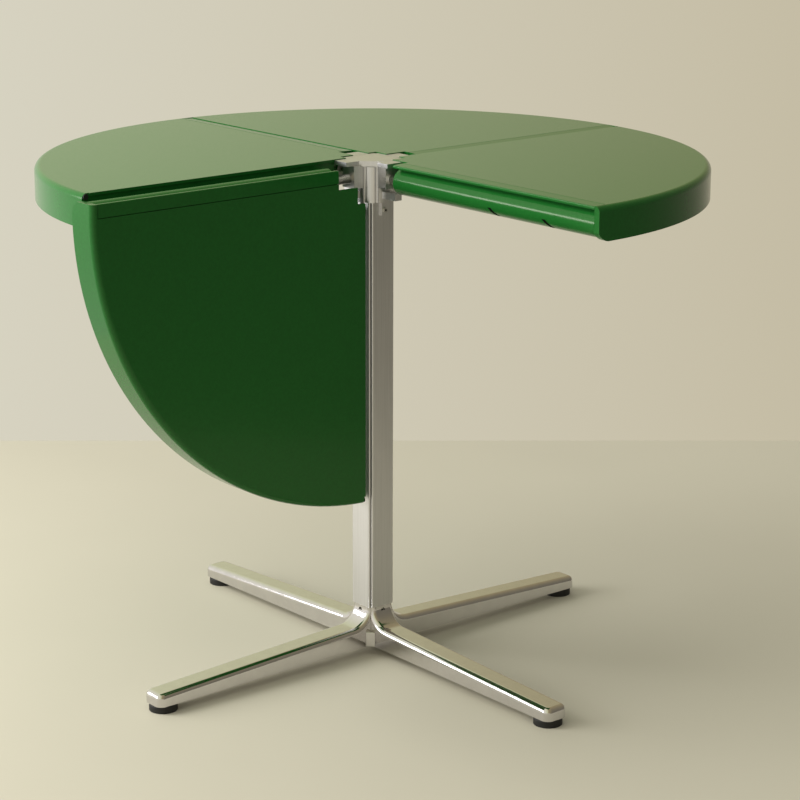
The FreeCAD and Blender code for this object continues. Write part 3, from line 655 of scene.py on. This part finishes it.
class TABLE_OT_stage(bpy.types.Operator):
    """Set the floor, the lamps and the photograph's camera"""

    bl_idname = "folding_table.stage"
    bl_label = "Floor, light and camera"

    def execute(self, context):
        stage = settings("table_stage")
        heading = Vector((math.cos(stage.view_angle), math.sin(stage.view_angle), 0))
        self.floor(stage)
        self.room(stage, Vector((-heading.y, heading.x, 0)))
        key_size = (stage.key_width, stage.key_width)
        key = self.lamp("Key", "DISK", stage.key_power, key_size, stage.key_elevation, stage)
        key.visible_glossy = False
        self.lamp("Softbox", "RECTANGLE", stage.box_power, stage.box_size, stage.box_elevation, stage)
        self.camera(stage, heading)
        context.scene.view_settings.view_transform = "Standard"
        return {"FINISHED"}

    def floor(self, stage):
        mesh = bpy.data.meshes.new("floor")
        shape = bmesh.new()
        turn = Matrix.Rotation(stage.view_angle, 4, "Z")
        bmesh.ops.create_grid(shape, x_segments=1, y_segments=1, size=stage.floor_reach, matrix=turn)
        shape.to_mesh(mesh)
        shape.free()
        floor = bpy.data.objects.new("floor", mesh)
        pale = finish_material(
            "Pale floor", stage.floor_colour, NON_METAL, stage.floor_roughness, FLOOR_GRAIN,
            shade=0.01, bump=0.0,
        )
        mesh.materials.append(pale)
        bpy.context.scene.collection.objects.link(floor)

    def room(self, stage, right):
        world = bpy.data.worlds.new("Plain room")
        bpy.context.scene.world = world
        world.use_nodes = True
        tree = world.node_tree
        tree.nodes.clear()
        join = tree.links.new
        output = tree.nodes.new("ShaderNodeOutputWorld")
        look = tree.nodes.new("ShaderNodeTexCoord")
        across = self.reading(tree, look, right)
        height = tree.nodes.new("ShaderNodeMapRange")
        height.inputs["From Min"].default_value = HORIZON
        height.inputs["From Max"].default_value = HIGH_WALL
        join(self.reading(tree, look, UP), height.inputs["Value"])
        path = tree.nodes.new("ShaderNodeLightPath")
        mirrored = tree.nodes.new("ShaderNodeMath")
        mirrored.operation = "MULTIPLY"
        join(height.outputs["Result"], mirrored.inputs[0])
        join(path.outputs["Is Glossy Ray"], mirrored.inputs[1])
        walls = tree.nodes.new("ShaderNodeMix")
        walls.data_type = "RGBA"
        join(mirrored.outputs["Value"], walls.inputs["Factor"])
        low_wall = self.wall(tree, across, stage, stage.backdrop_left, stage.backdrop_right)
        high_wall = self.wall(tree, across, stage, stage.high_wall_left, stage.high_wall_right)
        colours = [socket for socket in walls.inputs if socket.type == "RGBA"]
        join(low_wall, colours[0])
        join(high_wall, colours[1])
        shown = tree.nodes.new("ShaderNodeBackground")
        join(next(socket for socket in walls.outputs if socket.type == "RGBA"), shown.inputs["Color"])
        lit_from = (LIT_RISE * UP - right).normalized()
        rise = self.reading(tree, look, lit_from)
        level = tree.nodes.new("ShaderNodeMapRange")
        level.interpolation_type = "SMOOTHSTEP"
        level.inputs["From Min"].default_value = DARK_FROM
        level.inputs["From Max"].default_value = BRIGHT_FROM
        level.inputs["To Min"].default_value = stage.room_shade
        level.inputs["To Max"].default_value = stage.room_light
        join(rise, level.inputs["Value"])
        light = tree.nodes.new("ShaderNodeBackground")
        light.inputs["Color"].default_value = (*stage.room_bright, 1)
        join(level.outputs["Result"], light.inputs["Strength"])
        either = tree.nodes.new("ShaderNodeMath")
        either.operation = "MAXIMUM"
        mix = tree.nodes.new("ShaderNodeMixShader")
        join(path.outputs["Is Camera Ray"], either.inputs[0])
        join(path.outputs["Is Glossy Ray"], either.inputs[1])
        join(either.outputs["Value"], mix.inputs["Fac"])
        join(light.outputs["Background"], mix.inputs[1])
        join(shown.outputs["Background"], mix.inputs[2])
        join(mix.outputs["Shader"], output.inputs["Surface"])

    def wall(self, tree, across, stage, left, right):
        """The room's colour from its lit to its dark side, with two colours at the view's edges."""
        wall = tree.nodes.new("ShaderNodeValToRGB")
        ramp = wall.color_ramp
        ramp.elements[0].color = (*stage.room_bright, 1)
        ramp.elements[1].color = (*stage.room_dark, 1)
        ramp.elements.new(LEFT_OF_VIEW).color = (*left, 1)
        ramp.elements.new(RIGHT_OF_VIEW).color = (*right, 1)
        tree.links.new(across, wall.inputs["Fac"])
        return wall.outputs["Color"]

    def reading(self, tree, look, direction):
        """How far a look into the room goes along a direction, from 0 against it to 1 along it."""
        dot = tree.nodes.new("ShaderNodeVectorMath")
        dot.operation = "DOT_PRODUCT"
        dot.inputs[1].default_value = direction
        share = tree.nodes.new("ShaderNodeMapRange")
        share.inputs["From Min"].default_value = -1.0
        tree.links.new(look.outputs["Generated"], dot.inputs[0])
        tree.links.new(dot.outputs["Value"], share.inputs["Value"])
        return share.outputs["Result"]

    def lamp(self, name, shape, power, size, elevation, stage):
        """A soft lamp on the left, aimed at the middle of the table."""
        data = bpy.data.lights.new(name, "AREA")
        data.energy = power
        data.shape = shape
        data.size, data.size_y = size
        lamp = bpy.data.objects.new(name, data)
        angle = stage.view_angle - stage.key_turn
        level = math.cos(elevation)
        towards = Vector((level * math.cos(angle), level * math.sin(angle), math.sin(elevation)))
        lamp.location = stage.view_height * UP + stage.key_reach * towards
        lamp.rotation_euler = (-towards).to_track_quat("-Z", "Y").to_euler()
        bpy.context.scene.collection.objects.link(lamp)
        return lamp

    def camera(self, stage, heading):
        data = bpy.data.cameras.new("Photograph view")
        data.sensor_width = SENSOR_WIDTH
        data.sensor_fit = "HORIZONTAL"
        data.lens = stage.lens
        data.shift_x = stage.shift
        camera = bpy.data.objects.new("Photograph view", data)
        away = heading * math.cos(stage.view_elevation) + UP * math.sin(stage.view_elevation)
        camera.location = stage.view_height * UP + away * stage.view_distance
        camera.rotation_euler = (-away).to_track_quat("-Z", "Y").to_euler()
        bpy.context.scene.collection.objects.link(camera)
        bpy.context.scene.camera = camera


class TABLE_PT_panel(bpy.types.Panel):
    """The steps that finish the table"""

    bl_idname = "TABLE_PT_panel"
    bl_label = "Folding Table"
    bl_space_type = "VIEW_3D"
    bl_region_type = "UI"
    bl_category = "Folding Table"

    def draw(self, context):
        for step in STEPS:
            self.layout.operator(step.bl_idname)


GROUPS = {"table_finish": TableFinish, "table_detail": TableDetail, "table_stage": TableStage}
STEPS = (
    TABLE_OT_leaves, TABLE_OT_base, TABLE_OT_column, TABLE_OT_fittings, TABLE_OT_rubber,
    TABLE_OT_panel_screws, TABLE_OT_socket_shade, TABLE_OT_paddle_slit_shade, TABLE_OT_stage,
)


def register():
    for kind in (*GROUPS.values(), *STEPS, TABLE_PT_panel):
        bpy.utils.register_class(kind)
    for name, group in GROUPS.items():
        setattr(bpy.types.Scene, name, bpy.props.PointerProperty(type=group))


def unregister():
    for name in GROUPS:
        delattr(bpy.types.Scene, name)
    for kind in reversed((*GROUPS.values(), *STEPS, TABLE_PT_panel)):
        bpy.utils.unregister_class(kind)


def main():
    register()
    bpy.ops.folding_table.leaves()
    bpy.ops.folding_table.base()
    bpy.ops.folding_table.column()
    bpy.ops.folding_table.fittings()
    bpy.ops.folding_table.rubber()
    bpy.ops.folding_table.panel_screws()
    bpy.ops.folding_table.sockets()
    bpy.ops.folding_table.paddle_slits()
    bpy.ops.folding_table.stage()


if __name__ == "__main__":
    main()
